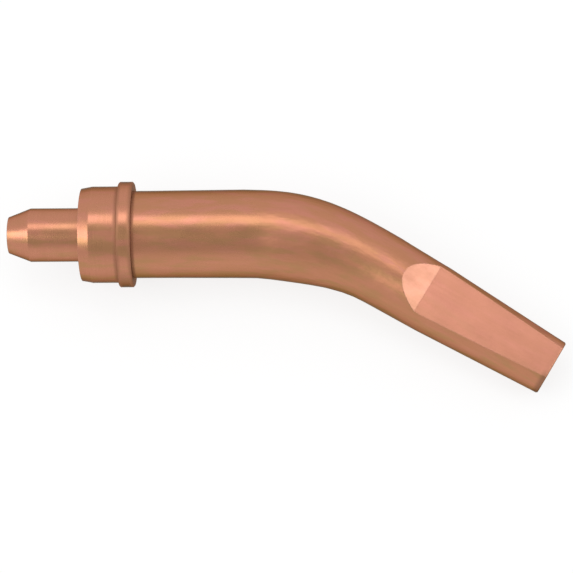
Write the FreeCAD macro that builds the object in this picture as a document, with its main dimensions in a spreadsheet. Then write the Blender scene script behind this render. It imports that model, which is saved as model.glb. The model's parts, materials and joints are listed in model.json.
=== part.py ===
import FreeCAD, Part

import math
import os

import Sketcher

# One bent oxy fuel cutting tip, turned, swaged and bent from a single copper bar.
# The body's own frame: X runs from the nose along the straight barrel, the barrel bends
# toward -Y in the XY plane, and the two grip flats face +Z and -Z. All sizes are in millimetres.

os.makedirs("parts", exist_ok=True)
doc = FreeCAD.newDocument("CuttingTip")

SIZES = (
    ("nose_face_dia", 6.6, "flat end of the nose"),
    ("nose_cone_length", 3.9, "sealing cone on the nose"),
    ("spigot_dia", 9.65, "cylinder that enters the torch head"),
    ("spigot_length", 13.2, "nose face to shoulder face"),
    ("seat_dia", 16.7, "small end of the shoulder seat cone"),
    ("seat_length", 1.9, "axial length of the shoulder seat cone"),
    ("shoulder_dia", 17.4, "shoulder cylinder"),
    ("shoulder_length", 6.75, "shoulder face to collar"),
    ("collar_dia", 19.05, "flange that the tip nut pulls on"),
    ("collar_width", 2.6, "collar from face to face"),
    ("collar_edge", 0.2, "chamfer on both collar rims"),
    ("barrel_front_dia", 15.75, "barrel where it leaves the collar"),
    ("barrel_land_length", 3.0, "even cylinder behind the collar, inside the lip of the tip nut"),
    ("barrel_dia", 16.0, "barrel where the bend starts"),
    ("barrel_length", 19.95, "collar to start of bend"),
    ("bend_radius", 47.4, "centreline radius of the bend"),
    ("bend_angle", 31.7, "turn of the bend in degrees"),
    ("swage_lag", 0.3, "part of the bend that keeps the barrel diameter"),
    ("neck_dia", 13.25, "diameter where the bend ends"),
    ("taper_dia", 12.75, "diameter where the end taper starts"),
    ("taper_distance", 10.5, "end of bend to where the end taper starts"),
    ("ridge_distance", 8.8, "end of bend to the ridge between ramp and flat"),
    ("nozzle_length", 34.5, "end of bend to the end face"),
    ("end_dia", 10.2, "diameter at the end face"),
    ("end_edge", 0.2, "chamfer around the end face"),
    ("flats_at_ridge", 8.5, "across the grip flats at the ridge"),
    ("flats_at_end", 8.2, "across the grip flats at the end face"),
    ("ramp_angle", 25.0, "slope of the ramps into the flats in degrees"),
    ("oxygen_dia", 3.2, "cutting oxygen bore"),
    ("oxygen_mouth_dia", 4.6, "countersink of the oxygen bore in the nose"),
    ("oxygen_mouth_depth", 0.8, "depth of that countersink"),
    ("preheat_count", 6, "preheat passages around the bore"),
    ("preheat_inlet_dia", 1.8, "preheat passage at the shoulder face"),
    ("preheat_inlet_circle", 13.0, "pitch circle of the inlets"),
    ("preheat_bend_dia", 1.4, "preheat passage through the bend"),
    ("preheat_bend_circle", 8.8, "pitch circle through the bend"),
    ("preheat_outlet_dia", 1.0, "preheat passage at the end face"),
    ("preheat_outlet_circle", 6.0, "pitch circle of the outlets"),
)

# Sections that the bend is drawn through, and how far a cut runs out past the metal
SWAGE_SECTIONS = 6
CUT_MARGIN = 3.0
FULL_TURN = 360.0

# Closeness in millimetres, the least volume that counts as a cut, and the most of a cutter's own
ON_PLANE = 1e-4
LEAST_CUT = 1e-3
MOST_CUT = 1.01

# The mesh that finds how the tip lies, a height above any part of it, and closeness of a touch
REST_MESH = 0.02
FAR_AWAY = 1e4
TOUCH = 1e-6

sheet = doc.addObject("Spreadsheet::Sheet", "Sizes")
for row, (alias, number, note) in enumerate(SIZES, start=1):
    sheet.set(f"A{row}", alias)
    sheet.set(f"B{row}", str(number))
    sheet.set(f"C{row}", note)
    sheet.setAlias(f"B{row}", alias)
doc.recompute()


def cells(text):
    """The text with every alias written as a reference to the spreadsheet."""
    for alias, number, note in sorted(SIZES, key=lambda line: -len(line[0])):
        text = text.replace(f"<{alias}>", f"Sizes.{alias}")
    return text


def value(text):
    """The number that an expression has now."""
    found = sheet.evalExpression(cells(text))
    return float(getattr(found, "Value", found))


body = doc.addObject("PartDesign::Body", "TipBody")
body.Label = "gouging_tip"


def origin_item(role):
    for item in body.Origin.OriginFeatures:
        if item.Role == role:
            return item
    raise RuntimeError(f"no origin feature {role}")


def new_sketch(name, plane, base=("0", "0", "0"), turn="0"):
    """A sketch on one of the body's planes, moved by base and turned about the body's Z axis."""
    sketch = body.newObject("Sketcher::SketchObject", name)
    sketch.AttachmentSupport = [(origin_item(plane), "")]
    sketch.MapMode = "FlatFace"
    axis = FreeCAD.Vector(0, 0, 1) if plane == "XY_Plane" else FreeCAD.Vector(0, 1, 0)
    sketch.AttachmentOffset = FreeCAD.Placement(FreeCAD.Vector(), FreeCAD.Rotation(axis, 1))
    for letter, text in zip("xyz", base):
        sketch.setExpression(f"AttachmentOffset.Base.{letter}", cells(text))
    sketch.setExpression("AttachmentOffset.Rotation.Angle", cells(turn))
    return sketch


def bind(sketch, kind, arguments, text):
    """Adds a dimension and ties it to an expression."""
    number = value(text)
    if kind == "Angle":
        number = math.radians(number)
    index = sketch.addConstraint(Sketcher.Constraint(kind, *arguments, number))
    sketch.setExpression(f"Constraints[{index}]", cells(text))


def draw_outline(sketch, corners):
    """A closed polygon whose corners are pairs of expressions in the sketch's own axes."""
    points = [FreeCAD.Vector(value(across), value(up), 0) for across, up in corners]
    count = len(points)
    for index in range(count):
        sketch.addGeometry(Part.LineSegment(points[index], points[(index + 1) % count]), False)
    for index in range(count):
        sketch.addConstraint(Sketcher.Constraint("Coincident", index, 2, (index + 1) % count, 1))
    for index, (across, up) in enumerate(corners):
        bind(sketch, "DistanceX", (-1, 1, index, 1), across)
        bind(sketch, "DistanceY", (-1, 1, index, 1), up)


def draw_circle(sketch, radius, centre=None):
    """A circle on the sketch's origin, or with its centre at a pair of expressions."""
    across, up = centre or ("0", "0")
    middle = FreeCAD.Vector(value(across), value(up), 0)
    circle = Part.Circle(middle, FreeCAD.Vector(0, 0, 1), value(radius))
    index = sketch.addGeometry(circle, False)
    bind(sketch, "Radius", (index,), radius)
    if centre is None:
        sketch.addConstraint(Sketcher.Constraint("Coincident", index, 3, -1, 1))
    else:
        bind(sketch, "DistanceX", (-1, 1, index, 3), across)
        bind(sketch, "DistanceY", (-1, 1, index, 3), up)


# Places along the tip, as expressions
COLLAR_FRONT = "(<spigot_length> + <shoulder_length>)"
COLLAR_BACK = f"({COLLAR_FRONT} + <collar_width>)"
BEND_START = f"({COLLAR_BACK} + <barrel_length>)"


def bend_place(fraction):
    """Distance along X, drop toward -Y and turn after a fraction of the bend."""
    turn = f"({fraction} * <bend_angle>)"
    along = f"({BEND_START} + <bend_radius> * sin({turn} * 1 deg))"
    drop = f"(<bend_radius> * (1 - cos({turn} * 1 deg)))"
    return along, drop, turn


BEND_END_X, BEND_END_DROP, BEND_TURN = bend_place("1")
END_X = f"({BEND_END_X} + <nozzle_length> * cos({BEND_TURN} * 1 deg))"
END_DROP = f"({BEND_END_DROP} + <nozzle_length> * sin({BEND_TURN} * 1 deg))"


def across_sketch(name, along, drop="0", turn="0"):
    """A sketch square to the centreline, with its origin on the centreline."""
    return new_sketch(name, "YZ_Plane", (f"-{drop}", "0", along), f"-{turn}")


def draw_centreline():
    """Straight through the spigot and the barrel, round the bend, straight to the end face."""
    sketch = new_sketch("Centreline", "XY_Plane")
    shoulder = FreeCAD.Vector(value("<spigot_length>"), 0, 0)
    start = FreeCAD.Vector(value(BEND_START), 0, 0)
    turn = math.radians(value("<bend_angle>"))
    radius = value("<bend_radius>")
    length = value("<nozzle_length>")
    middle = FreeCAD.Vector(start.x, -radius, 0)
    after = FreeCAD.Vector(start.x + radius * math.sin(turn), -radius * (1 - math.cos(turn)), 0)
    end = after + FreeCAD.Vector(math.cos(turn), -math.sin(turn), 0) * length
    round_line = Part.ArcOfCircle(
        Part.Circle(middle, FreeCAD.Vector(0, 0, 1), radius), math.pi / 2 - turn, math.pi / 2
    )
    sketch.addGeometry(Part.LineSegment(FreeCAD.Vector(), shoulder), False)
    sketch.addGeometry(Part.LineSegment(shoulder, start), False)
    sketch.addGeometry(round_line, False)
    sketch.addGeometry(Part.LineSegment(after, end), False)
    sketch.addConstraint(Sketcher.Constraint("Coincident", 0, 1, -1, 1))
    sketch.addConstraint(Sketcher.Constraint("Horizontal", 0))
    sketch.addConstraint(Sketcher.Constraint("Coincident", 0, 2, 1, 1))
    sketch.addConstraint(Sketcher.Constraint("Horizontal", 1))
    sketch.addConstraint(Sketcher.Constraint("Tangent", 1, 2, 2, 2))
    sketch.addConstraint(Sketcher.Constraint("Tangent", 2, 1, 3, 1))
    bind(sketch, "DistanceX", (-1, 1, 0, 2), "<spigot_length>")
    bind(sketch, "DistanceX", (-1, 1, 1, 2), BEND_START)
    bind(sketch, "Radius", (2,), "<bend_radius>")
    bind(sketch, "Angle", (2,), "<bend_angle> * 1 deg")
    bind(sketch, "Distance", (3,), "<nozzle_length>")
    return sketch


def turned_front():
    """Nose cone, spigot, shoulder with its seat, collar and straight barrel, turned in one go."""
    sketch = new_sketch("TurnedProfile", "XY_Plane")
    corners = [
        ("0", "0"),
        ("0", "<nose_face_dia> / 2"),
        ("<nose_cone_length>", "<spigot_dia> / 2"),
        ("<spigot_length>", "<spigot_dia> / 2"),
        ("<spigot_length>", "<seat_dia> / 2"),
        ("<spigot_length> + <seat_length>", "<shoulder_dia> / 2"),
        (COLLAR_FRONT, "<shoulder_dia> / 2"),
        (COLLAR_FRONT, "<collar_dia> / 2 - <collar_edge>"),
        (f"{COLLAR_FRONT} + <collar_edge>", "<collar_dia> / 2"),
        (f"{COLLAR_BACK} - <collar_edge>", "<collar_dia> / 2"),
        (COLLAR_BACK, "<collar_dia> / 2 - <collar_edge>"),
        (COLLAR_BACK, "<barrel_front_dia> / 2"),
        (f"{COLLAR_BACK} + <barrel_land_length>", "<barrel_front_dia> / 2"),
        (BEND_START, "<barrel_dia> / 2"),
        (BEND_START, "0"),
    ]
    draw_outline(sketch, corners)
    revolve(sketch, "TurnedFront")


def revolve(sketch, name):
    feature = body.newObject("PartDesign::Revolution", name)
    feature.Profile = sketch
    feature.ReferenceAxis = (sketch, ["H_Axis"])
    feature.Angle = FULL_TURN
    doc.recompute()


def swaged_bend(centreline):
    """The bend, drawn down from the barrel to the neck by a smooth step that starts late."""
    sections = []
    for index in range(SWAGE_SECTIONS + 1):
        fraction = f"({index} / {SWAGE_SECTIONS})"
        along, drop, turn = bend_place(fraction)
        step = f"max(0; ({fraction} - <swage_lag>) / (1 - <swage_lag>))"
        blend = f"({step} * {step} * (3 - 2 * {step}))"
        radius = f"<barrel_dia> / 2 - (<barrel_dia> - <neck_dia>) / 2 * {blend}"
        sketch = across_sketch(f"BendSection{index}", along, drop, turn)
        draw_circle(sketch, radius)
        sections.append(sketch)
    doc.recompute()
    pipe = body.newObject("PartDesign::AdditivePipe", "SwagedBend")
    pipe.Profile = sections[0]
    pipe.Spine = (centreline, ["Edge3"])
    pipe.Transformation = "Multisection"
    pipe.Sections = [(section, [""]) for section in sections[1:]]
    doc.recompute()


def tapered_nozzle():
    """The straight end: a slow taper at first and a quicker one to the end face."""
    base = (BEND_END_X, f"-{BEND_END_DROP}", "0")
    sketch = new_sketch("NozzleProfile", "XY_Plane", base, f"-{BEND_TURN}")
    corners = [
        ("0", "0"),
        ("0", "<neck_dia> / 2"),
        ("<taper_distance>", "<taper_dia> / 2"),
        ("<nozzle_length>", "<end_dia> / 2"),
        ("<nozzle_length>", "0"),
    ]
    draw_outline(sketch, corners)
    revolve(sketch, "TaperedNozzle")
    return sketch


def grip_flats():
    """A flat with its ramp, cut square through the nozzle, and its mirror on the other side."""
    base = (BEND_END_X, "0", BEND_END_DROP)
    sketch = new_sketch("FlatProfile", "XZ_Plane", base, f"-{BEND_TURN}")
    end = f"<nozzle_length> + {CUT_MARGIN}"
    slope = "(<flats_at_ridge> - <flats_at_end>) / 2 / (<nozzle_length> - <ridge_distance>)"
    top = f"<neck_dia> / 2 + {CUT_MARGIN}"
    ramp_reach = f"({top} - <flats_at_ridge> / 2) / tan(<ramp_angle> * 1 deg)"
    corners = [
        ("<ridge_distance>", "<flats_at_ridge> / 2"),
        (end, f"<flats_at_end> / 2 - {slope} * {CUT_MARGIN}"),
        (end, top),
        (f"<ridge_distance> - {ramp_reach}", top),
    ]
    draw_outline(sketch, corners)
    doc.recompute()
    before = body.Shape.Volume
    pocket = body.newObject("PartDesign::Pocket", "UpperFlat")
    pocket.Profile = sketch
    pocket.Type = "ThroughAll"
    pocket.Midplane = True
    doc.recompute()
    one_side = before - body.Shape.Volume
    mirror = body.newObject("PartDesign::Mirrored", "LowerFlat")
    mirror.Originals = [pocket]
    mirror.MirrorPlane = (origin_item("XY_Plane"), [""])
    body.Tip = mirror
    doc.recompute()
    both_sides = before - body.Shape.Volume
    if one_side <= 0 or both_sides < 1.9 * one_side:
        raise RuntimeError("a grip flat was not cut")
    return mirror


def on_end_face(edge):
    """True where an edge lies in the plane of the end face, in the body's own frame."""
    turn = math.radians(value("<bend_angle>"))
    normal = FreeCAD.Vector(math.cos(turn), -math.sin(turn), 0)
    centre = FreeCAD.Vector(value(BEND_END_X), -value(BEND_END_DROP), 0)
    centre = centre + normal * value("<nozzle_length>")
    samples = [edge.valueAt(edge.FirstParameter), edge.valueAt(edge.LastParameter)]
    samples.append(edge.valueAt((edge.FirstParameter + edge.LastParameter) / 2))
    return all(abs((point - centre).dot(normal)) < ON_PLANE for point in samples)


def break_end_rim(base):
    names = [f"Edge{i}" for i, edge in enumerate(base.Shape.Edges, start=1) if on_end_face(edge)]
    chamfer = body.newObject("PartDesign::Chamfer", "EndRim")
    chamfer.Base = (base, names)
    chamfer.setExpression("Size", "Sizes.end_edge")
    doc.recompute()


def cut(kind, name, profile, **settings):
    """Adds a feature that takes metal away and makes sure that it took only its own volume."""
    before = body.Shape.Volume
    feature = body.newObject(kind, name)
    feature.Profile = profile
    for setting, content in settings.items():
        setattr(feature, setting, content)
    doc.recompute()
    taken = before - body.Shape.Volume
    if taken < LEAST_CUT or taken > MOST_CUT * abs(feature.AddSubShape.Volume):
        raise RuntimeError(f"{name} took {taken} cubic millimetres")
    return feature


def cut_around(feature, axis):
    """Repeats a cut for every preheat passage, evenly spaced about an axis."""
    before = body.Shape.Volume
    pattern = body.newObject("PartDesign::PolarPattern", f"{feature.Name}Pattern")
    pattern.Originals = [feature]
    pattern.Axis = axis
    pattern.Angle = FULL_TURN
    pattern.setExpression("Occurrences", "Sizes.preheat_count")
    body.Tip = pattern
    doc.recompute()
    if value("<preheat_count>") > 1 and body.Shape.Volume > before - LEAST_CUT:
        raise RuntimeError(f"{pattern.Name} cut nothing")


def oxygen_bore(centreline):
    """The cutting oxygen bore follows the centreline from the nose to the end face."""
    start = across_sketch("OxygenStart", "0")
    draw_circle(start, "<oxygen_dia> / 2")
    doc.recompute()
    whole_line = (centreline, ["Edge1", "Edge2", "Edge3", "Edge4"])
    cut("PartDesign::SubtractivePipe", "OxygenBore", start, Spine=whole_line)
    mouth = new_sketch("OxygenMouthProfile", "XY_Plane")
    corners = [
        ("0", "0"),
        ("0", "<oxygen_mouth_dia> / 2"),
        ("<oxygen_mouth_depth>", "<oxygen_dia> / 2"),
        ("<oxygen_mouth_depth>", "0"),
    ]
    draw_outline(mouth, corners)
    doc.recompute()
    axis = (mouth, ["H_Axis"])
    cut("PartDesign::Groove", "OxygenMouth", mouth, ReferenceAxis=axis, Angle=FULL_TURN)


def hole_sketch(name, circle, hole, along, drop="0", turn="0"):
    """One passage's circle on its pitch circle, on the outer side of the bend."""
    sketch = across_sketch(name, along, drop, turn)
    draw_circle(sketch, f"{hole} / 2", (f"{circle} / 2", "0"))
    return sketch


def bend_holes_sketch():
    """All the passages where the bend starts, with the bend's axis as a construction line."""
    sketch = across_sketch("PreheatBendHoles", BEND_START)
    for index in range(int(value("<preheat_count>"))):
        turn = f"({index} * 360 / <preheat_count> * 1 deg)"
        radius = "<preheat_bend_circle> / 2"
        draw_circle(sketch, "<preheat_bend_dia> / 2", (f"{radius} * cos{turn}", f"{radius} * sin{turn}"))
    foot = FreeCAD.Vector(-value("<bend_radius>"), 0, 0)
    line = sketch.addGeometry(Part.LineSegment(foot, foot + FreeCAD.Vector(0, 1, 0)), True)
    sketch.addConstraint(Sketcher.Constraint("Vertical", line))
    sketch.addConstraint(Sketcher.Constraint("PointOnObject", line, 1, -1))
    bind(sketch, "DistanceX", (-1, 1, line, 1), "-<bend_radius>")
    bind(sketch, "Distance", (line,), "<preheat_bend_dia>")
    return sketch


def preheat_passages(nozzle_profile):
    """The passages close in on the bore as they narrow: straight, round the bend, straight."""
    bend_size = ("<preheat_bend_circle>", "<preheat_bend_dia>")
    inlet = hole_sketch("PreheatInlet", "<preheat_inlet_circle>", "<preheat_inlet_dia>", "<spigot_length>")
    bend_start = hole_sketch("PreheatBendStart", *bend_size, BEND_START)
    bend_end = hole_sketch("PreheatBendEnd", *bend_size, BEND_END_X, BEND_END_DROP, BEND_TURN)
    outlet_size = ("<preheat_outlet_circle>", "<preheat_outlet_dia>")
    outlet = hole_sketch("PreheatOutlet", *outlet_size, END_X, END_DROP, BEND_TURN)
    bend_holes = bend_holes_sketch()
    doc.recompute()
    loft = "PartDesign::SubtractiveLoft"
    groove = "PartDesign::Groove"
    barrel = cut(loft, "PreheatBarrel", inlet, Sections=[(bend_start, [""])], Ruled=True)
    cut_around(barrel, (origin_item("X_Axis"), [""]))
    bend_axis = (bend_holes, ["Axis0"])
    turn = value("<bend_angle>")
    bend = cut(groove, "PreheatBend", bend_holes, ReferenceAxis=bend_axis, Angle=turn, Reversed=True)
    bend.setExpression("Angle", "Sizes.bend_angle")
    nozzle = cut(loft, "PreheatNozzle", bend_end, Sections=[(outlet, [""])], Ruled=True)
    cut_around(nozzle, (nozzle_profile, ["H_Axis"]))


def surrounds(corners, place):
    """True where a triangle has the place inside it, seen from above."""
    sides = []
    for index in range(3):
        first = corners[index]
        second = corners[(index + 1) % 3]
        sides.append((second.x - first.x) * (place.y - first.y) - (second.y - first.y) * (place.x - first.x))
    return all(side >= 0 for side in sides) or all(side <= 0 for side in sides)


def floor_normal(points, mass_centre):
    """The upright of the plane below all points that touches three of them around the mass centre."""
    corners = [
        FreeCAD.Vector(-FAR_AWAY, -FAR_AWAY, FAR_AWAY),
        FreeCAD.Vector(FAR_AWAY, -FAR_AWAY, FAR_AWAY),
        FreeCAD.Vector(0, FAR_AWAY, FAR_AWAY),
    ]
    while True:
        normal = (corners[1] - corners[0]).cross(corners[2] - corners[0]).normalize()
        normal = normal if normal.z > 0 else -normal
        lowest = min(points, key=normal.dot)
        if (lowest - corners[0]).dot(normal) > -TOUCH:
            return normal
        swaps = [corners[:index] + [lowest] + corners[index + 1:] for index in range(3)]
        corners = next(swap for swap in swaps if surrounds(swap, mass_centre))


def resting_up(points, mass_centre):
    """The upward direction in which the tip lies still, starting from the flats lying level."""
    up = FreeCAD.Vector(0, 0, 1)
    change = 1.0
    while change > TOUCH:
        level = FreeCAD.Rotation(up, FreeCAD.Vector(0, 0, 1))
        normal = floor_normal([level.multVec(point) for point in points], level.multVec(mass_centre))
        next_up = level.inverted().multVec(normal)
        change = (next_up - up).Length
        up = next_up
    return up


def resting_placement(shape):
    """Lays the tip on the floor, with its barrel along +X and its origin below its middle."""
    points, facets = shape.tessellate(REST_MESH)
    up = resting_up(points, shape.CenterOfGravity)
    ahead = FreeCAD.Vector(1, 0, 0)
    ahead = (ahead - up * ahead.dot(up)).normalize()
    turn = FreeCAD.Rotation(ahead, up.cross(ahead), up, "ZXY").inverted()
    lying = shape.copy()
    lying.Placement = FreeCAD.Placement(FreeCAD.Vector(), turn)
    box = lying.optimalBoundingBox(False)
    middle = box.Center
    return FreeCAD.Placement(FreeCAD.Vector(-middle.x, -middle.y, -box.ZMin), turn)


centreline = draw_centreline()
turned_front()
swaged_bend(centreline)
nozzle_profile = tapered_nozzle()
flats = grip_flats()
break_end_rim(flats)
oxygen_bore(centreline)
preheat_passages(nozzle_profile)

body.Placement = resting_placement(body.Shape)
doc.recompute()

for item in doc.Objects:
    if "Invalid" in item.State or "Error" in item.State:
        raise RuntimeError(f"{item.Name}: {item.State}")
if body.Shape.isNull() or not body.Shape.isValid():
    raise RuntimeError("the tip's shape is not valid")
if len(body.Shape.Solids) != 1:
    raise RuntimeError("the tip is not one solid")

body.Shape.exportStep(f"parts/{body.Label}.step")
print(body.Label, body.Shape.optimalBoundingBox(False), round(body.Shape.Volume, 1), "mm3")
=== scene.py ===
import json
import math

import bpy
from mathutils import Matrix, Vector

# Dresses the bent copper cutting tip, whose solid comes from the frame. Lengths are in metres,
# except for places on the tip, which are in millimetres.

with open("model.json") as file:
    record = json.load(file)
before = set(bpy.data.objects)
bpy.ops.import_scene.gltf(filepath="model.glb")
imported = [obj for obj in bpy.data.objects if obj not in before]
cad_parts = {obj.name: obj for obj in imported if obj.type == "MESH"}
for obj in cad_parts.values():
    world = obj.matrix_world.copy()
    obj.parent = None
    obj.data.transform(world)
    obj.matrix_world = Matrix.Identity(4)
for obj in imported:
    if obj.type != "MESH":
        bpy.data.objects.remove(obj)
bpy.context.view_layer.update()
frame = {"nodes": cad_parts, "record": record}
tip = frame["nodes"]["gouging_tip"]
mounts = {mount["name"]: mount for mount in frame["record"]["mounts"]}

# Where the photograph was taken from, looking down on the tip as it lies
VIEW_AZIMUTH = 8.706
VIEW_ELEVATION = 70.752
VIEW_ROLL = -9.527
VIEW_DISTANCE = 0.31641
VIEW_AIM = Vector((0.000497, -0.000587, 0.009341))
LENS = 111.68
SENSOR = 36.0
NEAREST_SEEN = 0.01

# How the tip lies on the floor, and its centreline in millimetres from the nose face
ROLL_ON_FLOOR = 3.518
COLLAR_FRONT = 19.95
COLLAR_BACK = 22.55
BEND_START = 42.5
BEND_RADIUS = 47.4
BEND_TURN = 31.7
END = 103.225
RAMP_SLOPE = 25.0
MM_IN_METRE = 1000.0

# Where each finish begins and where it is full, in millimetres from the nose face; how wide the
# corners at the collar are; how well a face agrees with a pressed one; full part of a reach
TURNED_EDGE = (COLLAR_BACK + 0.4, COLLAR_BACK - 0.1)
SWAGED_EDGE = (BEND_START, BEND_START + 7.0)
NOZZLE_EDGE = (BEND_START + 20.0, BEND_START + 30.0)
FRONT_CORNER_REACH = 0.8
BACK_CORNER_REACH = 0.7
PRESSED_MATCH = (0.9985, 0.9995)
FULL_WITHIN = 0.3

# Marks of the tools: their sizes in millimetres, then their depths in metres
RING_PITCH = 0.34
RING_DRIFT = 0.035
RING_MARKS = {"roughness": 0.65, "broad_scale": 0.17, "broad_height": 0.6, "broad_tone": 0.5}
STREAK_MARKS = {"roughness": 0.6, "broad_scale": 0.22, "broad_height": 0.7, "broad_tone": 0.6}
STREAKS = {"Stretch": 14.0, "Density": 2.2}
RIPPLES = {"Stretch": 2.5, "Density": 0.33}
MOTTLE_SIZE = 4.5
SPECKS_PER_CLOUD = 9.0
SWAGED_EXTRA = 1.5
SPECK_HEIGHT = 0.25
MARK_DEPTH = 0.000004
RIPPLE_DEPTH = 0.00013

# Edges: how far they are rounded, and how well a rounded face still agrees with its flat one
# where the wear begins and where it is full
EDGE_RADIUS = 0.00022
EDGE_SAMPLES = 6
EDGE_TURN = (0.995, 0.93)

# Copper as it looks in plain light, linear
COPPER = (0.51, 0.222, 0.125)
COPPER_PINK = (0.57, 0.225, 0.165)
COPPER_OLIVE = (0.43, 0.228, 0.105)
COPPER_BROWN = (0.4, 0.18, 0.09)
COPPER_FLAT = (0.48, 0.2, 0.145)
COPPER_RAMP = (0.5, 0.245, 0.178)
# Painted shade, put in the collar's corners, towards its outline and along the end's rim
PAINTED_SHADE = (0.26, 0.125, 0.075)
FRESH_EDGE = (0.7, 0.38, 0.26)

# Tint of glancing light, which darkens the outlines
EDGE_ON = (0.27, 0.32, 0.29)

# How much of each tint shows. LEVELS are where a pattern begins and is full. ACROSS gives two
# places across the tip, in millimetres from its middle, and the share at each.
STAIN_SIZE = {"Length": 6.0, "Width": 1.6}
STAIN_LEVELS = (0.42, 0.66)
STAIN_SHIFTS = {"Pink": 0.0, "Olive": 41.7}
# The pink stains show more on the outer side of the bend as a painted highlight, the olive ones
# more on the inner side as painted shade
PINK_HIGHLIGHT_ACROSS = (-4.0, 1.0, 0.3, 0.8)
OLIVE_SHADE_ACROSS = (-3.0, 1.5, 0.75, 0.2)
TURNED_PINK = 0.4
PRESSED_SHARE = 0.75
TONE_LEVELS = (0.3, 0.7)
TONE_SHARE = 0.25
CLOUD_LEVELS = (0.3, 0.7)
SPECK_LEVELS = (0.35, 0.75)
SPECK_SHARE = 0.12
EDGE_SHARE = 0.3
# Painted shade along the end's rim, more on the inner side, and on the collar's corners and towards
# its outline on either side
RIM_ACROSS = (-1.5, -3.5, 0.15, 1.0)
RIM_REACH = 1.4
RIM_SHADE = 0.8
COLLAR_SIDES = (7.6, 9.4)
COLLAR_REACH = 1.6
COLLAR_SHADE = 0.45

# Roughness: the metal's own, then what each mark or place adds
ROUGHNESS = 0.22
TONE_ROUGHNESS = 0.06
CLOUD_ROUGHNESS = 0.05
SWAGED_ROUGHNESS = 0.09
CORNER_ROUGHNESS = 0.2

# Light: radiance of the studio, where 1 is white, and its greyer part by azimuth and elevation
WALL_LIGHT = 0.97
CEILING_LIGHT = 0.64
GREY_PLACE = (0.0, 58.0)
GREY_EDGE = (0.62, 0.95)
FLOOR_SIZE = 6.0
FLOOR_TONE = 0.86
WHITE_SHARE = 0.8
WHITE = (1.0, 1.0, 1.0)

# Lamps: azimuth and elevation in degrees, width and height in metres, radiance
LAMP_DISTANCE = 0.6
LAMPS = {
    "Back Lamp": (170.0, 74.0, 0.42, 0.22, 1.35),
    "Left Lamp": (-68.0, 49.0, 0.46, 0.36, 2.2),
    "Right Lamp": (77.0, 39.0, 0.3, 0.3, 1.9),
}

# Sockets of a Mix node by kind: its first input, its second input and its output
MIX_SOCKETS = {"RGBA": (6, 7, 2), "VECTOR": (4, 5, 1)}


# Node trees


def fill(tree, socket, content):
    """Links a socket to another one, or sets its value."""
    if isinstance(content, bpy.types.NodeSocket):
        tree.links.new(content, socket)
    elif isinstance(content, tuple) and socket.type == "RGBA":
        socket.default_value = (*content, 1.0)
    else:
        socket.default_value = content


def put(tree, kind, inputs=None, **settings):
    """Adds a node, gives it its settings and fills its inputs, named or numbered."""
    node = tree.nodes.new(kind)
    for name, content in settings.items():
        setattr(node, name, content)
    for name, content in (inputs or {}).items():
        fill(tree, node.inputs[name], content)
    return node


def maths(tree, operation, *terms):
    node = put(tree, "ShaderNodeMath", operation=operation)
    for index, term in enumerate(terms):
        fill(tree, node.inputs[index], term)
    return node.outputs[0]


def product(tree, first, second):
    return maths(tree, "MULTIPLY", first, second)


def add_share(tree, content, share, base):
    """The base with a share of the content added."""
    return maths(tree, "MULTIPLY_ADD", content, share, base)


def ramp_between(tree, content, low, high, start=0.0, end=1.0):
    """A smooth step from start to end as the content goes from low to high."""
    places = {"Value": content, "From Min": low, "From Max": high, "To Min": start, "To Max": end}
    node = put(tree, "ShaderNodeMapRange", places, interpolation_type="SMOOTHSTEP")
    return node.outputs["Result"]


def blend(tree, factor, first, second, kind="RGBA"):
    """Goes from the first to the second as the factor goes from 0 to 1."""
    one, two, result = MIX_SOCKETS[kind]
    inputs = {"Factor": factor, one: first, two: second}
    return put(tree, "ShaderNodeMix", inputs, data_type=kind).outputs[result]


def vector_maths(tree, operation, first, second):
    node = put(tree, "ShaderNodeVectorMath", {0: first, 1: second}, operation=operation)
    return node.outputs


def scaled(tree, vector, factor):
    inputs = {0: vector, "Scale": factor}
    return put(tree, "ShaderNodeVectorMath", inputs, operation="SCALE").outputs[0]


def vector_of(tree, x, y, z):
    return put(tree, "ShaderNodeCombineXYZ", {"X": x, "Y": y, "Z": z}).outputs[0]


def noise(tree, place, scale, detail=2.0, roughness=0.5):
    inputs = {"Vector": place, "Scale": scale, "Detail": detail, "Roughness": roughness}
    return put(tree, "ShaderNodeTexNoise", inputs).outputs["Fac"]


def new_group(name, inputs, outputs):
    """A node group; a number goes by its name alone, any other socket by a name and its kind."""
    group = bpy.data.node_groups.new(name, "ShaderNodeTree")
    for way, sockets in (("INPUT", inputs), ("OUTPUT", outputs)):
        for entry in sockets:
            label, kind = (entry, "Float") if isinstance(entry, str) else entry
            group.interface.new_socket(label, in_out=way, socket_type=f"NodeSocket{kind}")
    return group, put(group, "NodeGroupInput").outputs, put(group, "NodeGroupOutput").inputs


def use(tree, group, **inputs):
    """Places a group in a tree."""
    return put(tree, "ShaderNodeGroup", inputs, node_tree=group).outputs


def near(tree, content, place, reach):
    """1 where the content is at a place, falling to 0 within a reach on either side."""
    away = maths(tree, "ABSOLUTE", maths(tree, "SUBTRACT", content, place))
    return ramp_between(tree, away, reach, reach * FULL_WITHIN)


def alike(tree, first, second):
    """How far two directions agree: 1 where they are the same."""
    return vector_maths(tree, "DOT_PRODUCT", first, second)["Value"]


# Places on the tip


def tip_axes():
    """The tip's own axes as it lies: along the barrel, to the bend's outer side, and up."""
    along = -Vector(mounts["nose_seat"]["axis"])
    side = Vector((0, 0, 1)).cross(along).normalized()
    side = Matrix.Rotation(math.radians(ROLL_ON_FLOOR), 3, along) @ side
    return Matrix((along, side, along.cross(side)))


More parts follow.
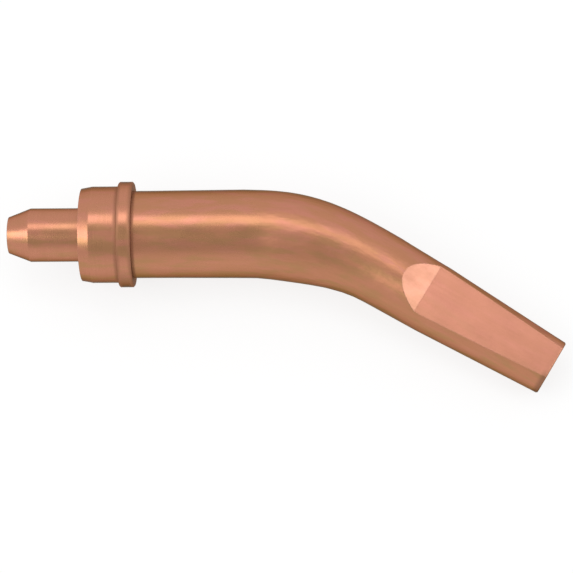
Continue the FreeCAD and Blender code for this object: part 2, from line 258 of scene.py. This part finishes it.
def places_group():
    """Follows the bent centreline: millimetres from the nose, to its outer side, and above it."""
    outputs = ["Along", "Side", "Up", "Radius"]
    group, given, result = new_group("Places on the Tip", [("Position", "Vector")], outputs)
    axes = tip_axes()
    nose = axes @ Vector(mounts["nose_seat"]["pos_m"]) * MM_IN_METRE
    inputs = {"Vector": given["Position"], "Location": -nose, "Rotation": axes.to_euler()}
    mapping = put(group, "ShaderNodeMapping", inputs)
    mapping.inputs["Scale"].default_value = (MM_IN_METRE, MM_IN_METRE, MM_IN_METRE)
    straight = put(group, "ShaderNodeSeparateXYZ", {0: mapping.outputs[0]}).outputs

    # How far round the bend a place is, none before it and all of it on the nozzle
    ahead = maths(group, "SUBTRACT", straight["X"], BEND_START)
    out = maths(group, "ADD", straight["Y"], BEND_RADIUS)
    turn = maths(group, "ARCTAN2", ahead, out)
    turn = maths(group, "MAXIMUM", turn, 0.0)
    turn = maths(group, "MINIMUM", turn, math.radians(BEND_TURN))
    sine = maths(group, "SINE", turn)
    cosine = maths(group, "COSINE", turn)

    # The same place as if the tip were straight
    forward = maths(group, "SUBTRACT", product(group, ahead, cosine), product(group, out, sine))
    along = maths(group, "MULTIPLY_ADD", turn, BEND_RADIUS, forward)
    along = maths(group, "ADD", along, BEND_START)
    side = maths(group, "MULTIPLY_ADD", out, cosine, product(group, ahead, sine))
    side = maths(group, "SUBTRACT", side, BEND_RADIUS)
    square = product(group, side, side)
    square = maths(group, "MULTIPLY_ADD", straight["Z"], straight["Z"], square)
    fill(group, result["Along"], along)
    fill(group, result["Side"], side)
    fill(group, result["Up"], straight["Z"])
    fill(group, result["Radius"], maths(group, "SQRT", square))
    return group


def pressed_faces(tree, normal, slope):
    """1 on the two pressed faces that slope this many degrees towards the end, else 0."""
    along, _, up = tip_axes()
    ahead = Matrix.Rotation(-math.radians(BEND_TURN), 3, up) @ along * math.sin(math.radians(slope))
    above = up * math.cos(math.radians(slope))
    upper, lower = (alike(tree, normal, way + ahead) for way in (above, -above))
    return ramp_between(tree, maths(tree, "MAXIMUM", upper, lower), *PRESSED_MATCH)


# Copper


def fill_marks(group, result, place, roughness, broad_scale, broad_height, broad_tone):
    """Fine marks with broader ones under them: their height, and a tone from 0 to 1."""
    fine = noise(group, place, 1.0, detail=3.0, roughness=roughness)
    broad = noise(group, place, broad_scale)
    fill(group, result["Height"], add_share(group, broad, broad_height, fine))
    fine_tone = product(group, fine, 1.0 - broad_tone)
    fill(group, result["Tone"], add_share(group, broad, broad_tone, fine_tone))


def turning_group():
    """Rings left by the lathe: Across counts over the rings, Side and Up vary them slowly."""
    inputs = ["Across", "Side", "Up", "Pitch"]
    group, given, result = new_group("Turning Marks", inputs, ["Height", "Tone"])
    across = maths(group, "DIVIDE", given["Across"], given["Pitch"])
    side, up = (product(group, given[name], RING_DRIFT) for name in ("Side", "Up"))
    place = vector_of(group, across, side, up)
    fill_marks(group, result, place, **RING_MARKS)
    return group


def streaks_group():
    """Lines drawn out along the tip, Stretch times longer than they are wide."""
    inputs = ["Along", "Side", "Up", "Stretch", "Density"]
    group, given, result = new_group("Drawn Streaks", inputs, ["Height", "Tone"])
    along = maths(group, "DIVIDE", given["Along"], given["Stretch"])
    place = vector_of(group, along, given["Side"], given["Up"])
    place = scaled(group, place, given["Density"])
    fill_marks(group, result, place, **STREAK_MARKS)
    return group


def mottle_group():
    """Cloudy patches a few millimetres across, and finer specks on them."""
    inputs = [("Place", "Vector"), "Size"]
    group, given, result = new_group("Mottle", inputs, ["Cloud", "Speck"])
    scale = maths(group, "DIVIDE", 1.0, given["Size"])
    cloud = noise(group, given["Place"], scale, detail=3.0, roughness=0.55)
    finer = product(group, scale, SPECKS_PER_CLOUD)
    speck = noise(group, given["Place"], finer, detail=3.0, roughness=0.6)
    fill(group, result["Cloud"], ramp_between(group, cloud, *CLOUD_LEVELS))
    fill(group, result["Speck"], ramp_between(group, speck, *SPECK_LEVELS))
    return group


def stains_group():
    """Patches of two hues drawn out along the tip, each from 0 to 1."""
    inputs = ["Along", "Side", "Up", "Length", "Width"]
    group, given, result = new_group("Stains", inputs, list(STAIN_SHIFTS))
    along = maths(group, "DIVIDE", given["Along"], given["Length"])
    side, up = (maths(group, "DIVIDE", given[name], given["Width"]) for name in ("Side", "Up"))
    place = vector_of(group, along, side, up)
    for name, shift in STAIN_SHIFTS.items():
        moved = vector_maths(group, "ADD", place, (shift, shift, shift))[0]
        fill(group, result[name], ramp_between(group, noise(group, moved, 1.0), *STAIN_LEVELS))
    return group


def finish_masks(tree, along, faces):
    """Where each finish is, from 0 to 1: turned, swaged, flats, ramps; and the corners at the
    collar, which get painted shade.
    """
    turned = ramp_between(tree, along, *TURNED_EDGE)
    swaged = ramp_between(tree, along, *SWAGED_EDGE)
    nozzle = ramp_between(tree, along, *NOZZLE_EDGE)
    flats = product(tree, pressed_faces(tree, faces, 0.0), nozzle)
    ramps = product(tree, pressed_faces(tree, faces, RAMP_SLOPE), nozzle)
    front = near(tree, along, COLLAR_FRONT, FRONT_CORNER_REACH)
    back = near(tree, along, COLLAR_BACK, BACK_CORNER_REACH)
    return turned, swaged, flats, ramps, maths(tree, "MAXIMUM", front, back)


def painted_shade_share(tree, along, side, corners):
    """Painted shade: in the collar's corners, towards its outline on either side, and along the
    end's rim, more on the inner side.
    """
    rim = product(tree, near(tree, along, END, RIM_REACH), ramp_between(tree, side, *RIM_ACROSS))
    sides = ramp_between(tree, maths(tree, "ABSOLUTE", side), *COLLAR_SIDES)
    collar = near(tree, along, (COLLAR_FRONT + COLLAR_BACK) / 2, COLLAR_REACH)
    collar = maths(tree, "MAXIMUM", corners, product(tree, sides, collar))
    collar = product(tree, collar, COLLAR_SHADE)
    return maths(tree, "MAXIMUM", collar, product(tree, rim, RIM_SHADE))


def copper_material():
    """Satin copper: turned at the seat end, swaged round the bend, pressed on the flats."""
    material = bpy.data.materials.new("Satin Copper")
    material.use_nodes = True
    tree = material.node_tree
    tree.nodes.clear()
    coordinates = put(tree, "ShaderNodeTexCoord").outputs["Object"]
    places = use(tree, places_group(), Position=coordinates)
    along, side, up, radius = (places[name] for name in ("Along", "Side", "Up", "Radius"))
    spot = {"Along": along, "Side": side, "Up": up}
    shape = put(tree, "ShaderNodeNewGeometry").outputs
    faces = shape["True Normal"]
    turned, swaged, flats, ramps, corners = finish_masks(tree, along, faces)

    # Marks of the tools
    across = maths(tree, "ADD", along, radius)
    rings = use(tree, turning_group(), Across=across, Side=side, Up=up, Pitch=RING_PITCH)
    drawing = streaks_group()
    streaks = use(tree, drawing, **spot, **STREAKS)
    ripples = use(tree, drawing, **spot, **RIPPLES)
    mottle_place = scaled(tree, coordinates, MM_IN_METRE)
    mottle = use(tree, mottle_group(), Place=mottle_place, Size=MOTTLE_SIZE)
    drawn = product(tree, streaks["Height"], add_share(tree, swaged, SWAGED_EXTRA, 1.0))
    marks = maths(tree, "SUBTRACT", rings["Height"], drawn)
    height = maths(tree, "MULTIPLY_ADD", marks, turned, drawn)
    height = add_share(tree, mottle["Speck"], SPECK_HEIGHT, height)

    # The swaged metal is slightly uneven, but for the pressed faces
    pressed = maths(tree, "MAXIMUM", flats, ramps)
    uneven = product(tree, swaged, maths(tree, "SUBTRACT", 1.0, pressed))
    uneven = product(tree, uneven, ripples["Height"])

    # Edges are rounded, but for the corners at the collar, and are rubbed bright
    bevel = put(tree, "ShaderNodeBevel", {"Radius": EDGE_RADIUS}, samples=EDGE_SAMPLES).outputs[0]
    edge = ramp_between(tree, alike(tree, bevel, faces), *EDGE_TURN)
    rounded = blend(tree, corners, bevel, shape["Normal"], "VECTOR")

    # Colour: random pink and olive stains; more pink on the outer side of the bend, as a painted
    # highlight, and more olive on the inner one, as painted shade
    tone = maths(tree, "SUBTRACT", rings["Tone"], streaks["Tone"])
    tone = maths(tree, "MULTIPLY_ADD", tone, turned, streaks["Tone"])
    tone = ramp_between(tree, tone, *TONE_LEVELS)
    stains = use(tree, stains_group(), **spot, **STAIN_SIZE)
    pink = product(tree, stains["Pink"], ramp_between(tree, side, *PINK_HIGHLIGHT_ACROSS))
    pink = maths(tree, "MAXIMUM", pink, product(tree, turned, TURNED_PINK))
    olive = product(tree, stains["Olive"], ramp_between(tree, side, *OLIVE_SHADE_ACROSS))
    colour = COPPER
    tints = [
        (pink, COPPER_PINK),
        (olive, COPPER_OLIVE),
        (product(tree, flats, PRESSED_SHARE), COPPER_FLAT),
        (product(tree, ramps, PRESSED_SHARE), COPPER_RAMP),
        (product(tree, tone, TONE_SHARE), COPPER_BROWN),
        (product(tree, mottle["Speck"], SPECK_SHARE), COPPER_BROWN),
        (product(tree, edge, EDGE_SHARE), FRESH_EDGE),
        # Painted shade in the collar's corners, towards its outline and along the end's rim
        (painted_shade_share(tree, along, side, corners), PAINTED_SHADE),
    ]
    for share, tint in tints:
        colour = blend(tree, share, colour, tint)

    # Gloss
    roughness = add_share(tree, tone, TONE_ROUGHNESS, ROUGHNESS)
    roughness = add_share(tree, mottle["Cloud"], CLOUD_ROUGHNESS, roughness)
    roughness = add_share(tree, swaged, SWAGED_ROUGHNESS, roughness)
    roughness = add_share(tree, corners, CORNER_ROUGHNESS, roughness)

    waves = {"Height": uneven, "Distance": RIPPLE_DEPTH, "Normal": rounded}
    waves = put(tree, "ShaderNodeBump", waves).outputs[0]
    bump = {"Height": height, "Distance": MARK_DEPTH, "Normal": waves}
    bump = put(tree, "ShaderNodeBump", bump).outputs[0]
    metal = {"Base Color": colour, "Metallic": 1.0, "Roughness": roughness, "Normal": bump}
    metal["Specular Tint"] = EDGE_ON
    shader = put(tree, "ShaderNodeBsdfPrincipled", metal)
    put(tree, "ShaderNodeOutputMaterial", {"Surface": shader.outputs[0]})
    return material


# Studio


def seen_directly(tree):
    """1 for rays from the camera and for those that metal or glass sends on, else 0."""
    path = put(tree, "ShaderNodeLightPath").outputs
    seen = maths(tree, "MAXIMUM", path["Is Camera Ray"], path["Is Glossy Ray"])
    return maths(tree, "MAXIMUM", seen, path["Is Transmission Ray"])


def floor():
    """A plain white floor that keeps the tip's shadow faintly."""
    half = FLOOR_SIZE / 2
    mesh = bpy.data.meshes.new("Floor")
    corners = [(-half, -half, 0), (half, -half, 0), (half, half, 0), (-half, half, 0)]
    mesh.from_pydata(corners, [], [(0, 1, 2, 3)])
    obj = bpy.data.objects.new("Floor", mesh)
    bpy.context.scene.collection.objects.link(obj)
    material = bpy.data.materials.new("White Floor")
    material.use_nodes = True
    tree = material.node_tree
    tree.nodes.clear()
    matt = put(tree, "ShaderNodeBsdfDiffuse", {"Color": (FLOOR_TONE,) * 3})
    white = put(tree, "ShaderNodeEmission", {"Color": WHITE, "Strength": 1.0})
    share = product(tree, seen_directly(tree), WHITE_SHARE)
    mixed = put(tree, "ShaderNodeMixShader", {0: share, 1: matt.outputs[0], 2: white.outputs[0]})
    put(tree, "ShaderNodeOutputMaterial", {"Surface": mixed.outputs[0]})
    mesh.materials.append(material)


def towards(azimuth, elevation):
    """The direction from the tip to a place at this azimuth and elevation, in degrees."""
    turn, lift = math.radians(azimuth), math.radians(elevation)
    flat = math.cos(lift)
    return Vector((math.sin(turn) * flat, -math.cos(turn) * flat, math.sin(lift)))


def studio_walls():
    """Light all round, greyer high up in front."""
    world = bpy.data.worlds.new("Studio")
    world.use_nodes = True
    tree = world.node_tree
    tree.nodes.clear()
    direction = put(tree, "ShaderNodeTexCoord").outputs["Generated"]
    grey = alike(tree, direction, towards(*GREY_PLACE))
    strength = ramp_between(tree, grey, *GREY_EDGE, WALL_LIGHT, CEILING_LIGHT)
    light = put(tree, "ShaderNodeBackground", {"Color": WHITE, "Strength": strength})
    put(tree, "ShaderNodeOutputWorld", {"Surface": light.outputs[0]})
    bpy.context.scene.world = world


def soft_box(name, azimuth, elevation, width, height, radiance):
    """A rectangular lamp that faces the tip."""
    lamp = bpy.data.lights.new(name, "AREA")
    lamp.shape = "RECTANGLE"
    lamp.size = width
    lamp.size_y = height
    lamp.energy = math.pi * radiance * width * height
    obj = bpy.data.objects.new(name, lamp)
    direction = towards(azimuth, elevation)
    obj.location = direction * LAMP_DISTANCE
    obj.rotation_mode = "QUATERNION"
    obj.rotation_quaternion = direction.to_track_quat("Z", "Y")
    obj.visible_camera = False
    bpy.context.scene.collection.objects.link(obj)


def camera():
    lens = bpy.data.cameras.new("Camera")
    lens.lens = LENS
    lens.sensor_width = SENSOR
    lens.clip_start = NEAREST_SEEN
    obj = bpy.data.objects.new("Camera", lens)
    back = towards(VIEW_AZIMUTH, VIEW_ELEVATION)
    turned = back.to_track_quat("Z", "Y").to_matrix().to_4x4()
    rolled = turned @ Matrix.Rotation(math.radians(VIEW_ROLL), 4, "Z")
    obj.matrix_world = Matrix.Translation(VIEW_AIM + back * VIEW_DISTANCE) @ rolled
    bpy.context.scene.collection.objects.link(obj)
    bpy.context.scene.camera = obj


tip.data.materials.clear()
tip.data.materials.append(copper_material())
floor()
studio_walls()
for lamp_name, lamp_numbers in LAMPS.items():
    soft_box(lamp_name, *lamp_numbers)
camera()
bpy.context.scene.view_settings.view_transform = "Standard"
